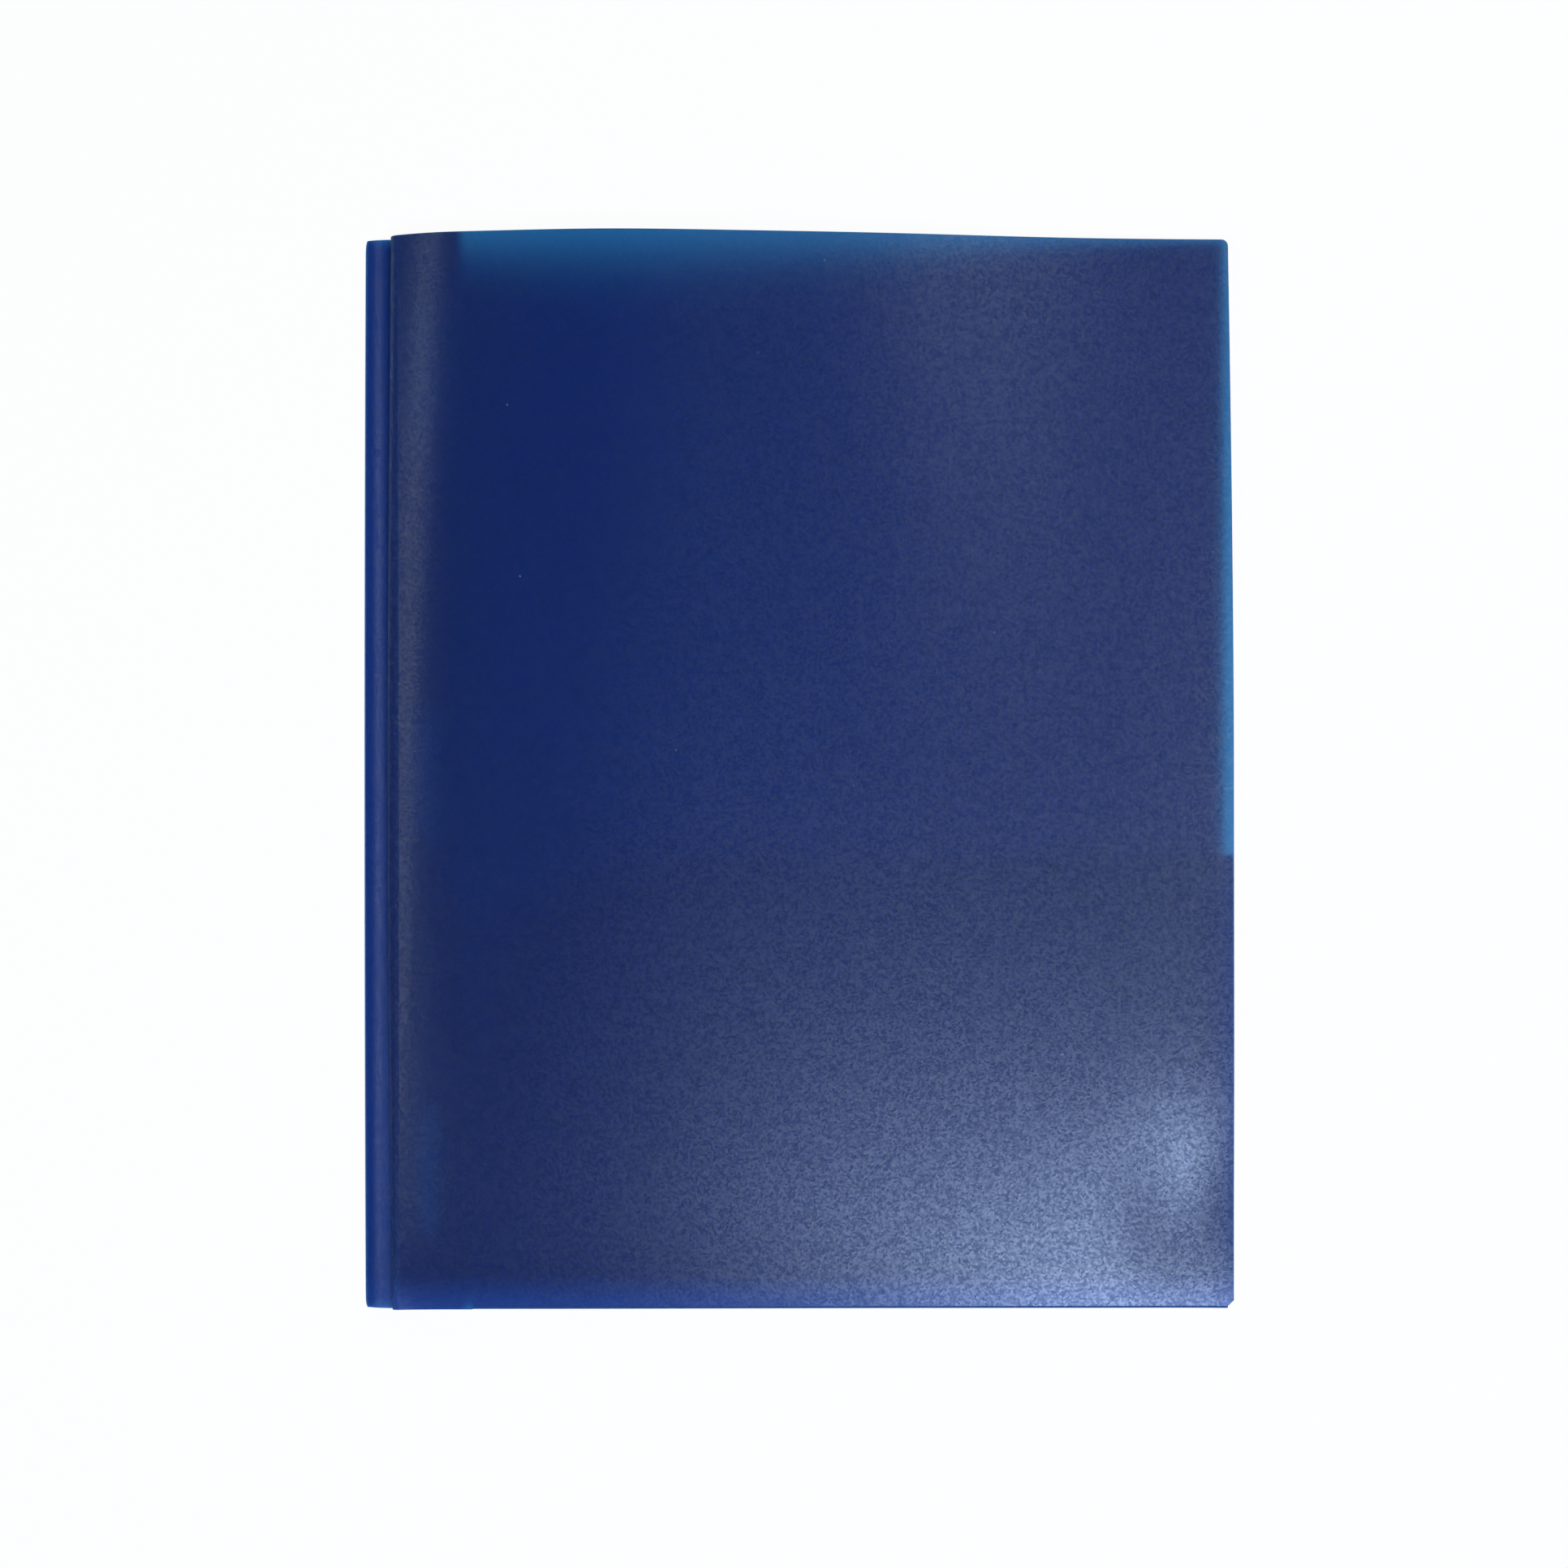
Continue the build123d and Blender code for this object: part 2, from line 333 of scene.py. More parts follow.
def creaseDepth(y):
    # fullest at mid height, slacker towards both ends, and rounded off at the very ends
    away = np.abs(2 * (y - bottom) / height - 1)
    fromEnd = height / 2 * (1 - away)
    rounding = 1 - backCrease["endRound"] * np.exp(-fromEnd / backCrease["endReach"])
    return (backLow.x - cadLow.x) * (1 - backCrease["waist"] * away**2) * rounding


def buildBackCrease():
    reach = backCrease["endZone"]
    ends = spread(0, reach, backCrease["endStep"])
    middle = spread(bottom + reach, top - reach, backCrease["step"])[1:-1]
    y = np.concatenate([bottom + ends, middle, top - ends[::-1]])[None, :]
    share = np.linspace(0, 1, backCrease["turns"])[:, None]
    creaseTop = spineHigh.z - spineStrip["drop"]
    slope = spineStrip["dropPower"] * spineStrip["drop"] / (spineHigh.x - spineLow.x)
    x, z = bentProfile(share, backLow.x, backLow.z, creaseTop, creaseDepth(y), slope)
    bent = bentShell(stacked(x, y, z), sheet)
    piece = makePiece("back_crease_sheet", "back_crease", "folder_sheet", bent)
    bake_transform(piece)
    return piece


def buildSpineStrip():
    # the strip is level beside the roll and curves down towards the hinge
    x = spread(spineLow.x, spineHigh.x, spineStrip["stepAcross"])[:, None]
    y = spread(bottom, top, spineStrip["stepAlong"])[None, :]
    share = (x - spineLow.x) / (spineHigh.x - spineLow.x)
    fall = spineStrip["drop"] * (1 - share) ** spineStrip["dropPower"]
    panel = shell(stacked(x, y, spineHigh.z - fall), stacked(x, y, spineLow.z - fall))
    return makePiece("spine_strip_sheet", "spine_panel", "folder_sheet", panel)


def buildSpineScore():
    share = np.linspace(0, 1, spineScore["across"])[:, None]
    y = spread(bottom, top, spineScore["step"])[None, :]
    x = scoreLow.x + (scoreHigh.x - scoreLow.x) * share
    groove = spineScore["depth"] * np.sin(np.pi * share) ** 2
    panel = shell(stacked(x, y, scoreHigh.z - groove), stacked(x, y, scoreLow.z))
    piece = makePiece("spine_score_sheet", "spine_crease", "folder_sheet", panel)
    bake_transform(piece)
    return piece


# binding strip: the sheet turned back on itself, slotted for the fasteners

bindingStrip = {"step": 4 * mm, "slotWidth": 5 * mm, "slotLength": 0.9 * mm, "turns": 13}
fastenerBoxes = {place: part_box("fastener_" + place) for place in ("top", "middle", "bottom")}
fastenerX = (fastenerBoxes["middle"][0].x + fastenerBoxes["middle"][1].x) / 2
fastenerY = {place: (low.y + high.y) / 2 for place, (low, high) in fastenerBoxes.items()}


def buildBindingLower():
    x = spread(lowerLow.x, lowerHigh.x, bindingStrip["step"])[:, None]
    y = spread(bottom, top, bindingStrip["step"])[None, :]
    panel = shell(stacked(x, y, lowerHigh.z), stacked(x, y, lowerLow.z))
    return makePiece("binding_lower_sheet", "binding_lower", "folder_sheet", panel)


def buildBindingTip():
    # half a tube from the upper layer round to the lower one
    angle = np.linspace(np.pi / 2, -np.pi / 2, bindingStrip["turns"])[:, None]
    y = spread(bottom, top, bindingStrip["step"])[None, :]
    middle = (tipLow.z + tipHigh.z) / 2
    radius = tipHigh.x - tipLow.x
    hollow = radius - sheet
    outer = stacked(tipLow.x + radius * np.cos(angle), y, middle + radius * np.sin(angle))
    inner = stacked(tipLow.x + hollow * np.cos(angle), y, middle + hollow * np.sin(angle))
    return makePiece("binding_tip_sheet", "binding_tip", "folder_sheet", shell(outer, inner))


def buildBindingUpper():
    halfWidth = bindingStrip["slotWidth"] / 2
    halfLength = bindingStrip["slotLength"] / 2
    slotMarks = sorted(y + side * halfLength for y in fastenerY.values() for side in (-1, 1))
    sideMarks = [fastenerX - halfWidth, fastenerX + halfWidth]
    x = marked([upperLow.x, *sideMarks, upperHigh.x], bindingStrip["step"])
    y = marked([bottom, *slotMarks, top], bindingStrip["step"])
    xMiddle = (x[:-1] + x[1:])[:, None] / 2
    yMiddle = (y[:-1] + y[1:])[None, :] / 2
    kept = np.ones((len(x) - 1, len(y) - 1), bool)
    for place in fastenerY.values():
        kept &= (abs(xMiddle - fastenerX) > halfWidth) | (abs(yMiddle - place) > halfLength)
    x, y = x[:, None], y[None, :]
    panel = shell(stacked(x, y, upperHigh.z), stacked(x, y, upperLow.z), kept)
    return makePiece("binding_upper_sheet", "binding_upper", "folder_sheet", panel)


# fasteners: stamped strips with two tangs turned down flat

fastenerShape = {
    "baseLength": 14 * mm,
    "baseWidth": 6.4 * mm,
    "baseAcross": 9,
    "baseCrowd": 0.6,
    "tangWidth": 4.6 * mm,
    "endShare": 0.02,  # width left at the very ends
    "metal": 0.25 * mm,
    "bend": 0.3 * mm,
    "bendTurns": 7,
    "ridge": 0.12 * mm,
    "ridgeWidth": 0.7 * mm,
    "ridgeFade": 2 * mm,
    "across": 15,
    "step": 0.4 * mm,
}


def ovalWidth(along, length, width):
    # half the width of a strip with round ends, at a distance from its middle
    radius = width / 2
    past = np.clip(np.abs(along) - (length / 2 - radius), 0, radius)
    least = fastenerShape["endShare"] * radius
    return np.sqrt(np.maximum(radius**2 - past**2, least**2))


def tangShell(place, side, reach, zLow, zTop):
    # one tang: up through the slot, round the bend and out flat, with a raised ridge along it
    metal, bend = fastenerShape["metal"], fastenerShape["bend"]
    turn = np.linspace(0, np.pi / 2, fastenerShape["bendTurns"])
    flat = spread(bend, reach, fastenerShape["step"])[1:]
    out = np.concatenate([[0], bend - bend * np.cos(turn), flat])
    up = np.concatenate([[zLow], zTop - bend + bend * np.sin(turn), np.full(len(flat), zTop)])
    share = np.linspace(-1, 1, fastenerShape["across"])[:, None]
    halfWidth = ovalWidth(out, 2 * reach, fastenerShape["tangWidth"])
    x = fastenerX + share * halfWidth
    fade = fastenerShape["ridgeFade"]
    onFlat = np.clip((out - 2 * bend) / fade, 0, 1) * np.clip((reach - fade - out) / fade, 0, 1)
    hump = np.exp(-((x - fastenerX) / fastenerShape["ridgeWidth"]) ** 2)
    ridge = fastenerShape["ridge"] * hump * onFlat
    outer = stacked(x if side > 0 else x[::-1], place + side * out, up + ridge)
    return bentShell(outer, metal)


def buildFastener(name):
    low, high = fastenerBoxes[name]
    place = fastenerY[name]
    shape = fastenerShape
    metal = shape["metal"]
    half = shape["baseLength"] / 2
    along = spread(-half, half, shape["step"], shape["baseCrowd"])
    share = np.linspace(-1, 1, shape["baseAcross"])[:, None]
    x = fastenerX + share * ovalWidth(along, shape["baseLength"], shape["baseWidth"])
    base = shell(stacked(x, place + along, low.z + metal), stacked(x, place + along, low.z))
    reach = high.y - place
    tangs = [tangShell(place, side, reach, low.z + metal, high.z) for side in (1, -1)]
    node = "fastener_" + name
    return makePiece(node + "_tangs", node, "fastener_steel", base, *tangs)


# front cover: nearly flat over the pockets, arched along the top edge

frontCover = {
    "level": frontWeldHigh.z,  # underside along the free edge
    "shelfRise": 1.6 * mm,  # over the binding strip
    "shelfEnd": 0.41,  # places along the cover are shares of its span from the roll
    "shelfFade": 0.13,
    "rollRise": 0.6 * mm,  # more where the roll ends
    "rollFade": 0.02,
    "liftRise": 2.5 * mm,  # the sheet springs up beside the roll
    "liftStart": 0.026,
    "liftReach": 0.55,
    "liftEnd": 0.1,  # held down over this share of the height at the bottom edge
    "pillowRise": 0.5 * mm,  # the sheet fills out above the bottom fold
    "pillowReach": 25 * mm,
    "curlRise": 0.4 * mm,  # the welded edge turns up a little
    "curlReach": 5 * mm,
    "curlFade": 12 * mm,
    "curlInset": 2,  # it is half gone this many fades below the pocket's mouth
    "archRise": 14.05 * mm,
    "archPlaces": (0, 0.03, 0.1, 0.24, 0.4, 0.6, 0.8, 1),
    "archShares": (0.41, 0.59, 0.79, 1, 0.88, 0.58, 0.17, 0),
    "growthPower": 2.3,
    "pullIn": 1.6 * mm,
    "pullPower": 1.6,
    "pullSpread": 4,  # the higher, the nearer to the free edge
    "corner": 1.8 * mm,
    "bevel": 1.6 * mm,
    "dentX": 104 * mm,
    "dentY": -118 * mm,
    "dentWide": 11 * mm,
    "dentLong": 16 * mm,
    "dentDepth": 0.95 * mm,
    "step": 2 * mm,
}
coverStart = rollHigh.x
coverSpan = coverHigh.x - coverStart


def coverUnder(x, y):
    # underside of the cover: a low line near the bottom edge and an arched line along the top edge,
    # mixed by how far the arch has grown at y, with a curl along the welded edge and one shallow dent
    shape = frontCover
    share = np.clip((x - coverStart) / coverSpan, 0, 1)
    up = np.clip((y - bottom) / height, 0, 1)
    shelf = shape["shelfRise"] / (1 + np.exp((share - shape["shelfEnd"]) / shape["shelfFade"]))
    atRoll = shape["rollRise"] * np.exp(-share / shape["rollFade"])
    lift = (1 - np.exp(-share / shape["liftStart"])) * np.exp(-((share / shape["liftReach"]) ** 2))
    lift = shape["liftRise"] * lift * (1 - np.exp(-up / shape["liftEnd"]))
    fromFold = np.maximum(y - foldLine, 0) / shape["pillowReach"]
    pillow = shape["pillowRise"] * (1 - np.exp(-fromFold))
    belowMouth = 1 / (1 + np.exp((y - frontPocketHigh.y) / shape["curlFade"] + shape["curlInset"]))
    curl = shape["curlRise"] * np.exp((x - coverHigh.x) / shape["curlReach"]) * belowMouth
    arch = shape["archRise"] * smoothLine(shape["archPlaces"], shape["archShares"], share)
    growth = up ** shape["growthPower"]
    acrossDent = (x - shape["dentX"]) / shape["dentWide"]
    alongDent = (y - shape["dentY"]) / shape["dentLong"]
    dent = shape["dentDepth"] * np.exp(-(acrossDent**2 + alongDent**2) / 2)
    low = shelf + atRoll + lift + pillow
    return shape["level"] + low * (1 - growth) + arch * growth + curl - dent


def buildFrontCover():
    x, y, kept = panelPlan(coverStart, coverHigh.x, frontPocketLow.x, frontCover)
    lift = np.clip(y / top, 0, 1) ** frontCover["pullPower"]
    x = x - frontCover["pullIn"] * lift * ((x - coverStart) / coverSpan) ** frontCover["pullSpread"]
    z = coverUnder(x, y)
    panel = shell(stacked(x, y, z + sheet), stacked(x, y, z), kept)
    return makePiece("front_cover_sheet", "front_cover", "folder_sheet", panel)


def buildFrontPocket():
    x, y = pocketPlan(frontPocketLow.x, frontPocketHigh.x, frontPocketHigh.y, backPocket)
    z = coverUnder(x, y) - pocketGap
    panel = shell(stacked(x, y, z), stacked(x, y, z - sheet))
    return makePiece("front_pocket_sheet", "front_pocket", "folder_sheet", panel)


def buildFrontFold():
    low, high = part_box("front_pocket_fold")
    x = spread(low.x, high.x, frontCover["step"])
    middle = coverUnder(x, np.full_like(x, foldLine)) - pocketGap / 2
    tube = foldShell(x, middle, sheet + pocketGap / 2)
    return makePiece("front_fold_sheet", "front_pocket_fold", "folder_sheet", tube)


def buildFrontWeld():
    x, y = weldPlan(frontWeldLow, frontWeldHigh)
    z = coverUnder(x, y)
    clear = weldSeam["clear"]
    seam = shell(stacked(x, y, z - clear), stacked(x, y, z - pocketGap + clear))
    return makePiece("front_weld_seam", "front_pocket_weld", "folder_sheet", seam)


# front roll: the soft bend between the binding strip and the front cover

frontRoll = {
    "depth": 2.0 * mm,
    "swell": 1.4 * mm,
    "swellPlaces": (0, 0.25, 0.45, 0.65, 0.82, 1),
    "swellShares": (0, 0.7, 1, 0.9, 0.6, 0.2),
    "turns": 25,
    "step": 3 * mm,
    "slopeReach": 0.2 * mm,
}


def buildFrontRoll():
    y = spread(bottom, top, frontRoll["step"])
    start = np.full_like(y, coverStart)
    reach = frontRoll["slopeReach"]
    slope = (coverUnder(start + reach, y) - coverUnder(start, y)) / reach
    swell = smoothLine(frontRoll["swellPlaces"], frontRoll["swellShares"], (y - bottom) / height)
    depth = frontRoll["depth"] + frontRoll["swell"] * swell
    rollTop = coverUnder(start, y) + sheet
    share = np.linspace(0, 1, frontRoll["turns"])[:, None]
    x, z = bentProfile(share, coverStart, upperLow.z, rollTop, depth, slope)
    bent = bentShell(stacked(x, y, z), sheet)
    piece = makePiece("front_roll_sheet", "front_roll", "folder_sheet", bent)
    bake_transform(piece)
    return piece


# finishes

grainNoise = {"Detail": 2.0, "Roughness": 0.6}
mottleNoise = {"Scale": 22.0, "Detail": 4.0, "Roughness": 0.55}
dustSpecks = {"scale": 70.0, "size": 0.022}


def addNode(tree, kind, inputs=(), **settings):
    # each input is another node's output or a plain value
    node = tree.nodes.new(kind)
    for key, value in settings.items():
        setattr(node, key, value)
    for socket, value in dict(inputs).items():
        if isinstance(value, bpy.types.NodeSocket):
            tree.links.new(value, node.inputs[socket])
        else:
            node.inputs[socket].default_value = value
    return node


def mathOf(tree, operation, first, second):
    return addNode(tree, "ShaderNodeMath", {0: first, 1: second}, operation=operation).outputs[0]


def fadeOut(tree, value, start, end, full=1.0):
    # full up to the start, nothing from the end on
    inputs = {"Value": value, "From Min": start, "From Max": end, "To Min": full, "To Max": 0.0}
    return addNode(tree, "ShaderNodeMapRange", inputs).outputs["Result"]


def mixColour(tree, share, first, second):
    # this kind of node takes its colours in sockets 6 and 7, and gives the mixed one in socket 2
    inputs = {0: share, 6: first, 7: second}
    return addNode(tree, "ShaderNodeMix", inputs, data_type="RGBA").outputs[2]


def mixShader(tree, share, first, second):
    return addNode(tree, "ShaderNodeMixShader", {0: share, 1: first, 2: second}).outputs[0]


def newGroup(name, inputs, outputs):
    # both are kinds of socket by title; gives the group and what comes into it
    group = bpy.data.node_groups.new(name, "ShaderNodeTree")
    for way, sockets in (("INPUT", inputs), ("OUTPUT", outputs)):
        for title, kind in sockets.items():
            group.interface.new_socket(title, in_out=way, socket_type="NodeSocket" + kind)
    return group, addNode(group, "NodeGroupInput").outputs


def newMaterial(name):
    material = bpy.data.materials.new(name)
    material.use_nodes = True
    material.node_tree.nodes.clear()
    return material, material.node_tree


def sandGrainGroup():
    # fine embossed sand: Height for the bump, Glint for how far each grain catches the light
    group, given = newGroup(
        "sandGrain",
        {"Vector": "Vector", "Scale": "Float", "Rarity": "Float"},
        {"Height": "Float", "Glint": "Float"},
    )
    place = {"Vector": given["Vector"], "Scale": given["Scale"]}
    fine = addNode(group, "ShaderNodeTexNoise", {**place, **grainNoise})
    grains = addNode(group, "ShaderNodeTexVoronoi", place)
    parts = addNode(group, "ShaderNodeSeparateColor", {0: grains.outputs["Color"]})
    glint = mathOf(group, "POWER", parts.outputs["Red"], given["Rarity"])
    addNode(group, "NodeGroupOutput", {"Height": fine.outputs["Fac"], "Glint": glint})
    return group


def pigmentGroup():
    # slow mottling between two tones, with a few pale specks of dust
    group, given = newGroup(
        "pigment",
        {"Vector": "Vector", "Deep": "Color", "Light": "Color", "Dust": "Color"},
        {"Color": "Color"},
    )
    place = given["Vector"]
    slow = addNode(group, "ShaderNodeTexNoise", {"Vector": place, **mottleNoise})
    specks = addNode(group, "ShaderNodeTexVoronoi", {"Vector": place, "Scale": dustSpecks["scale"]})
    dusty = mathOf(group, "LESS_THAN", specks.outputs["Distance"], dustSpecks["size"])
    tone = mixColour(group, slow.outputs["Fac"], given["Deep"], given["Light"])
    addNode(group, "NodeGroupOutput", {"Color": mixColour(group, dusty, tone, given["Dust"])})
    return group


def paintedFoldLightGroup():
    # PaintedLight is 1 at the fold line and fades out above it: painted light, a paler band that
    # stands for light getting in through the bent fold
    group, given = newGroup(
        "paintedFoldLight",
        {"Vector": "Vector", "Line": "Float", "Reach": "Float"},
        {"PaintedLight": "Float"},
    )
    parts = addNode(group, "ShaderNodeSeparateXYZ", {0: given["Vector"]})
    end = mathOf(group, "ADD", given["Line"], given["Reach"])
    foldLight = fadeOut(group, parts.outputs["Y"], given["Line"], end)
    addNode(group, "NodeGroupOutput", {"PaintedLight": foldLight})
    return group


sandGrain = sandGrainGroup()
pigment = pigmentGroup()
paintedFoldLight = paintedFoldLightGroup()

navySheet = {
    "deep": (0.0072, 0.0172, 0.108, 1),
    "light": (0.0088, 0.0206, 0.127, 1),
    "foldLight": (0.022, 0.072, 0.32, 1),  # painted light along the bottom folds, standing for light that gets in through the bend
    "foldLightReach": 9 * mm,
    "dust": (0.2, 0.25, 0.38, 1),
    "through": (0.2, 0.67, 0.99, 1),  # tint of the light that passes the sheet
    "throughShare": 0.6,
    "gloss": (0.85, 0.92, 1.0, 1),  # tint of the highlights
    "grainScale": 1800.0,
    "glintRarity": 1.2,  # the higher, the fewer grains catch the light
    "glintIor": 1.63,
    "grainBump": 0.3,
    "grainDepth": 0.1 * mm,
    "rough": 0.28,
    "specular": 0.45,
}
weldedSheet = dict(navySheet, grainBump=0.08, glintRarity=6.0, throughShare=0.65)
# paler where light gets in from the side
stripSheet = dict(navySheet, deep=(0.006, 0.039, 0.23, 1), light=(0.0074, 0.044, 0.255, 1))
# duller round the bend, with the binding strip behind it
rollSheet = dict(navySheet, throughShare=0.5, specular=0.3, glintRarity=3.0, rough=0.42)


def plasticSheet(name, finish):
    material, tree = newMaterial(name)
    place = addNode(tree, "ShaderNodeTexCoord").outputs["Object"]
    grain = addNode(
        tree, "ShaderNodeGroup",
        {"Vector": place, "Scale": finish["grainScale"], "Rarity": finish["glintRarity"]},
        node_tree=sandGrain,
    )
    tone = addNode(
        tree, "ShaderNodeGroup",
        {"Vector": place, "Deep": finish["deep"], "Light": finish["light"], "Dust": finish["dust"]},
        node_tree=pigment,
    )
    foldLightShare = addNode(
        tree, "ShaderNodeGroup",
        {"Vector": place, "Line": foldLine, "Reach": finish["foldLightReach"]},
        node_tree=paintedFoldLight,
    )
    bump = addNode(
        tree, "ShaderNodeBump",
        {
            "Strength": finish["grainBump"],
            "Distance": finish["grainDepth"],
            "Height": grain.outputs["Height"],
        },
    )
    # painted light: the colour turns a paler blue towards the bottom folds
    withFoldLight = mixColour(tree, foldLightShare.outputs["PaintedLight"], tone.outputs["Color"], finish["foldLight"])
    surface = addNode(
        tree, "ShaderNodeBsdfPrincipled",
        {
            "Base Color": withFoldLight,
            "Roughness": finish["rough"],
            "Specular IOR Level": finish["specular"],
            "Specular Tint": finish["gloss"],
            "Coat Weight": grain.outputs["Glint"],
            "Coat Roughness": finish["rough"],
            "Coat IOR": finish["glintIor"],
            "Normal": bump.outputs["Normal"],
        },
    )
    through = addNode(tree, "ShaderNodeBsdfTranslucent", {"Color": finish["through"]})
    mixed = mixShader(tree, finish["throughShare"], surface.outputs["BSDF"], through.outputs["BSDF"])
    addNode(tree, "ShaderNodeOutputMaterial", {"Surface": mixed})
    return material


tangSteel = {
    "bright": (0.62, 0.61, 0.58, 1),
    "dull": (0.48, 0.47, 0.45, 1),
    "cloudScale": 220.0,
    "rough": 0.32,
    "roughDull": 0.48,
    "brushScale": 900.0,
    "brushStretch": 0.03,  # scale along Y, so that the lines run that way
    "brushBump": 0.08,
    "brushDepth": 0.02 * mm,
    "detail": 3.0,
}


def stampedSteel(name, finish):
    # rolled strip: fine lines along Y and cloudy dulling
    material, tree = newMaterial(name)
    place = addNode(tree, "ShaderNodeTexCoord").outputs["Object"]
    stretch = (1, finish["brushStretch"], 1)
    drawn = addNode(tree, "ShaderNodeMapping", {"Vector": place, "Scale": stretch}).outputs["Vector"]
    lines = addNode(
        tree, "ShaderNodeTexNoise",
        {"Vector": drawn, "Scale": finish["brushScale"], "Detail": finish["detail"]},
    ).outputs["Fac"]
    clouds = addNode(
        tree, "ShaderNodeTexNoise",
        {"Vector": place, "Scale": finish["cloudScale"], "Detail": finish["detail"]},
    ).outputs["Fac"]
    rough = addNode(
        tree, "ShaderNodeMapRange",
        {"Value": lines, "To Min": finish["roughDull"], "To Max": finish["rough"]},
    )
    bump = addNode(
        tree, "ShaderNodeBump",
        {"Strength": finish["brushBump"], "Distance": finish["brushDepth"], "Height": lines},
    )
    surface = addNode(
        tree, "ShaderNodeBsdfPrincipled",
        {
            "Base Color": mixColour(tree, clouds, finish["dull"], finish["bright"]),
            "Metallic": 1.0,
            "Roughness": rough.outputs["Result"],
            "Normal": bump.outputs["Normal"],
        },
    )
    addNode(tree, "ShaderNodeOutputMaterial", {"Surface": surface.outputs["BSDF"]})
    return material


sheetFinish = plasticSheet("navySheet", navySheet)
weldFinish = plasticSheet("weldedSheet", weldedSheet)
stripFinish = plasticSheet("stripSheet", stripSheet)
rollFinish = plasticSheet("rollSheet", rollSheet)
steelFinish = stampedSteel("tangSteel", tangSteel)
print("finishes ready")


# assembly: which piece rides on which body; the three bends are built in place and ride on no body

def finished(piece, material):
    piece.data.materials.append(material)
    return piece


for build in (buildBackCover, buildBackPocket, buildBackFold):
    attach(finished(build(), sheetFinish), "back_cover")
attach(finished(buildBackWeld(), weldFinish), "back_cover")
finished(buildBackCrease(), stripFinish)
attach(finished(buildSpineStrip(), stripFinish), "spine")
finished(buildSpineScore(), sheetFinish)
print("back cover and spine built")

for build in (buildBindingLower, buildBindingTip, buildBindingUpper):
    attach(finished(build(), sheetFinish), "binding_strip")
for name in fastenerBoxes:
    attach(finished(buildFastener(name), steelFinish), "binding_strip")
print("binding strip and fasteners built")

finished(buildFrontRoll(), rollFinish)
for build in (buildFrontCover, buildFrontPocket, buildFrontFold):
    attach(finished(build(), sheetFinish), "front_cover")
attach(finished(buildFrontWeld(), weldFinish), "front_cover")
print("front cover built")


# table, light and camera

studio = {
    "floorDrop": 0.3 * mm,
    "floorSize": 6.0,
    "floorTone": (0.86, 0.86, 0.86, 1),
    "floorWhite": 0.95,
    "floorThrough": 0.06,  # the same white, for light that has passed the sheet
    "floorGlow": 1.7,  # the floor seen through one sheet, by rays that are steep enough
    "steepStart": 0.35,  # steepness as a direction's Z
    "steepFull": 0.8,
    "oneSheet": 2.5,  # its two faces, and half a face to spare
    "shadeLeft": spineLow.x,  # between these, the binding strip lies behind the raised cover
    "shadeRight": tipHigh.x + 0.9 * mm,  # as the camera sees it
    "shadeBlur": 1.4 * mm,
    "shadeHeight": upperHigh.z,  # and only where the cover is higher than the strip
    "worldTone": (0.86, 0.93, 1.0, 1),
    "worldStrength": 0.08,
    "worldWhite": (1, 1, 1, 1),
    "wallTop": 0.15,  # the room is white in reflections up to here, as a direction's Z
    "ceilingStart": 0.4,
    "lights": {
        # name: place, width, depth, watts, tone
        "hazeLight": ((0.305, -0.52, 1.4), 0.2, 0.2, 12.0, (0.56, 0.71, 1.0)),
        "rightLight": ((0.7, -0.1, 1.3), 0.5, 0.5, 5.6, (0.85, 0.96, 1.0)),
        "farRightLight": ((0.8, 0.35, 1.2), 0.6, 0.8, 3.4, (0.9, 1.0, 1.0)),
        "leftLight": ((-0.95, 0.02, 1.1), 0.9, 0.35, 2.9, (0.86, 0.93, 1.0)),
        "nearLeftLight": ((-0.65, -0.45, 1.2), 0.4, 0.6, 1.15, (0.8, 0.93, 1.0)),
        "farLight": ((0.0, 1.3, 0.7), 1.2, 0.5, 2.5, (1.0, 1.0, 1.0)),
    },
    "cameraPlace": (-3.9 * mm, -2.75 * mm, 703 * mm),
    "lens": 58.8,
    "sensor": 36.0,
    "clipStart": 10 * mm,
}


def whiteForCamera(tree, shaded):
    # the render sees a white ground, straight on or in a reflection, and keeps a trace of the shadow
    path = addNode(tree, "ShaderNodeLightPath").outputs
    white = addNode(tree, "ShaderNodeEmission", {"Strength": 1.0})
    seen = mathOf(tree, "MAXIMUM", path["Is Camera Ray"], path["Is Glossy Ray"])
    straight = mathOf(tree, "MULTIPLY", seen, studio["floorWhite"])
    through = mathOf(tree, "MULTIPLY", path["Is Transmission Ray"], studio["floorThrough"])
    share = mathOf(tree, "MAXIMUM", straight, through)
    return mixShader(tree, share, shaded, white.outputs["Emission"])


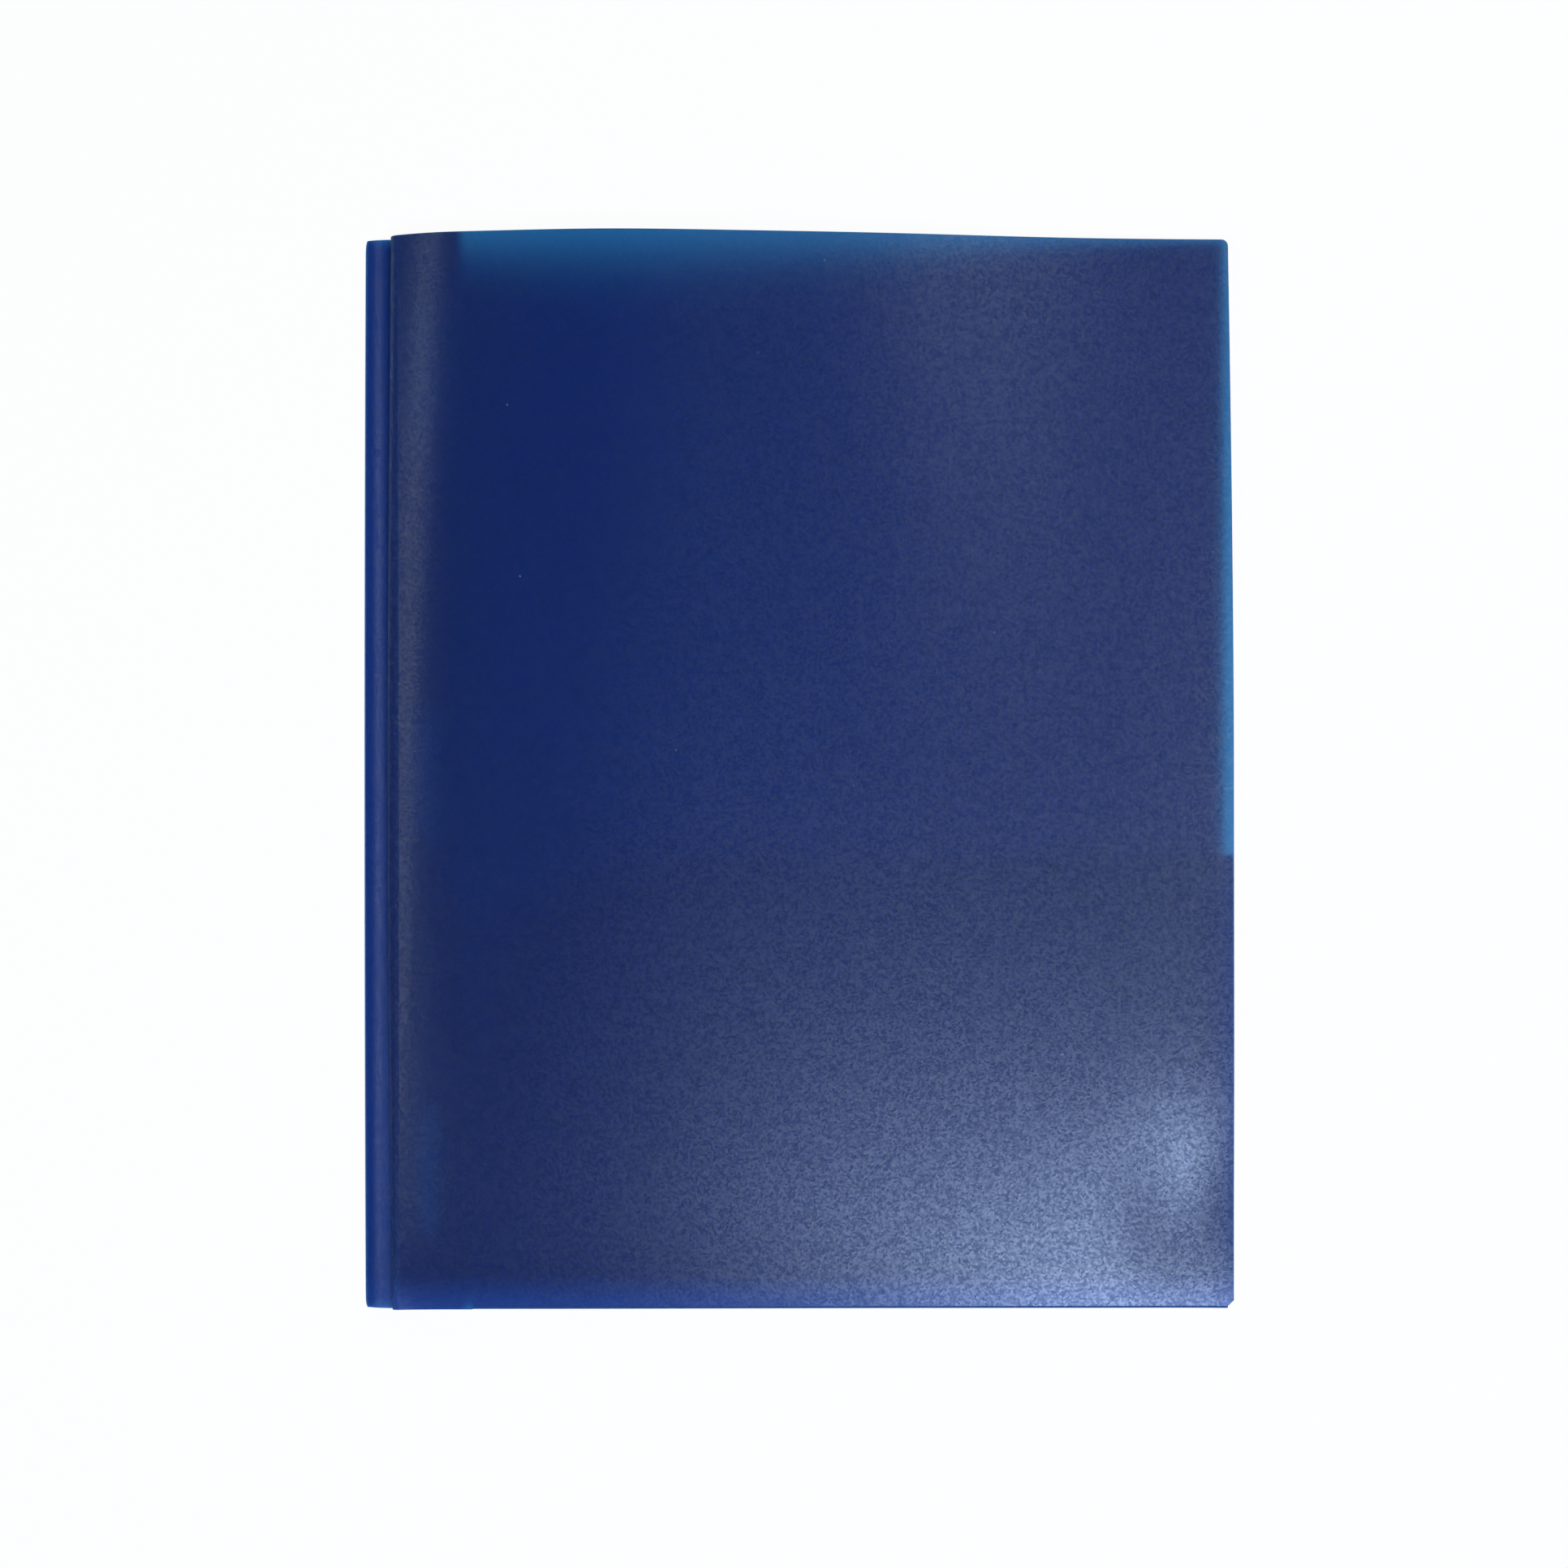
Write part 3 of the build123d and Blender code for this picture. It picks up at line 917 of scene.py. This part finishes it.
def throughOneSheet(tree, shaded):
    # the floor is bright through one sheet, apart from the part of the cover over the binding strip
    path = addNode(tree, "ShaderNodeLightPath").outputs
    geometry = addNode(tree, "ShaderNodeNewGeometry").outputs
    steepness = addNode(tree, "ShaderNodeSeparateXYZ", {0: geometry["Incoming"]}).outputs["Z"]
    # where the ray left the sheet, found by going back along it
    leftAt = addNode(
        tree, "ShaderNodeVectorMath",
        {0: geometry["Incoming"], 1: path["Ray Length"], 2: geometry["Position"]},
        operation="MULTIPLY_ADD",
    )
    place = addNode(tree, "ShaderNodeSeparateXYZ", {0: leftAt.outputs[0]}).outputs
    right, blur = studio["shadeRight"], studio["shadeBlur"]
    rightEdge = fadeOut(tree, place["X"], right - blur, right + blur)
    leftEdge = mathOf(tree, "GREATER_THAN", place["X"], studio["shadeLeft"])
    raised = mathOf(tree, "GREATER_THAN", place["Z"], studio["shadeHeight"])
    column = mathOf(tree, "MULTIPLY", leftEdge, rightEdge)
    patch = mathOf(tree, "MULTIPLY", column, raised)
    steep = addNode(
        tree, "ShaderNodeMapRange",
        {"Value": steepness, "From Min": studio["steepStart"], "From Max": studio["steepFull"]},
    )
    outside = fadeOut(tree, patch, 0.0, 1.0, studio["floorGlow"])
    strength = mathOf(tree, "MULTIPLY", outside, steep.outputs["Result"])
    glow = addNode(tree, "ShaderNodeEmission", {"Strength": strength})
    few = mathOf(tree, "LESS_THAN", path["Transmission Depth"], studio["oneSheet"])
    once = mathOf(tree, "MULTIPLY", path["Is Transmission Ray"], few)
    return mixShader(tree, once, shaded, glow.outputs["Emission"])


def buildFloor():
    half = studio["floorSize"] / 2
    mesh = bpy.data.meshes.new("tableTop")
    corners = [(-half, -half), (half, -half), (half, half), (-half, half)]
    mesh.from_pydata([(x, y, -studio["floorDrop"]) for x, y in corners], [], [(0, 1, 2, 3)])
    floor = bpy.data.objects.new("tableTop", mesh)
    bpy.context.scene.collection.objects.link(floor)
    material, tree = newMaterial("whiteTable")
    matt = addNode(tree, "ShaderNodeBsdfDiffuse", {"Color": studio["floorTone"]})
    seen = whiteForCamera(tree, matt.outputs["BSDF"])
    addNode(tree, "ShaderNodeOutputMaterial", {"Surface": throughOneSheet(tree, seen)})
    mesh.materials.append(material)


def buildWorld():
    # a dim room, white straight on and, near the horizon, in reflections and through the sheet
    world = bpy.data.worlds.new("softRoom")
    bpy.context.scene.world = world
    world.use_nodes = True
    tree = world.node_tree
    tree.nodes.clear()
    path = addNode(tree, "ShaderNodeLightPath").outputs
    place = addNode(tree, "ShaderNodeTexCoord").outputs["Generated"]
    upward = addNode(tree, "ShaderNodeSeparateXYZ", {0: place}).outputs["Z"]
    walls = fadeOut(tree, upward, studio["wallTop"], studio["ceilingStart"])
    mirrored = mathOf(tree, "MAXIMUM", path["Is Glossy Ray"], path["Is Transmission Ray"])
    nearHorizon = mathOf(tree, "MULTIPLY", mirrored, walls)
    seen = mathOf(tree, "MAXIMUM", path["Is Camera Ray"], nearHorizon)
    dim = {"Color": studio["worldTone"], "Strength": studio["worldStrength"]}
    room = addNode(tree, "ShaderNodeBackground", dim)
    white = addNode(tree, "ShaderNodeBackground", {"Color": studio["worldWhite"], "Strength": 1.0})
    mixed = mixShader(tree, seen, room.outputs["Background"], white.outputs["Background"])
    addNode(tree, "ShaderNodeOutputWorld", {"Surface": mixed})


def buildLights():
    for name, (place, width, depth, watts, tone) in studio["lights"].items():
        data = bpy.data.lights.new(name, "AREA")
        data.shape = "RECTANGLE"
        data.size, data.size_y = width, depth
        data.energy = watts
        data.color = tone
        light = bpy.data.objects.new(name, data)
        bpy.context.scene.collection.objects.link(light)
        light.location = place
        light.rotation_euler = (-Vector(place)).to_track_quat("-Z", "Y").to_euler()
        light.visible_camera = False


def buildCamera():
    data = bpy.data.cameras.new("overhead")
    data.lens = studio["lens"]
    data.sensor_width = studio["sensor"]
    data.clip_start = studio["clipStart"]
    camera = bpy.data.objects.new("overhead", data)
    bpy.context.scene.collection.objects.link(camera)
    camera.location = studio["cameraPlace"]
    bpy.context.scene.camera = camera


buildFloor()
buildWorld()
buildLights()
buildCamera()
bpy.context.scene.view_settings.view_transform = "Standard"
print("table, light and camera set")
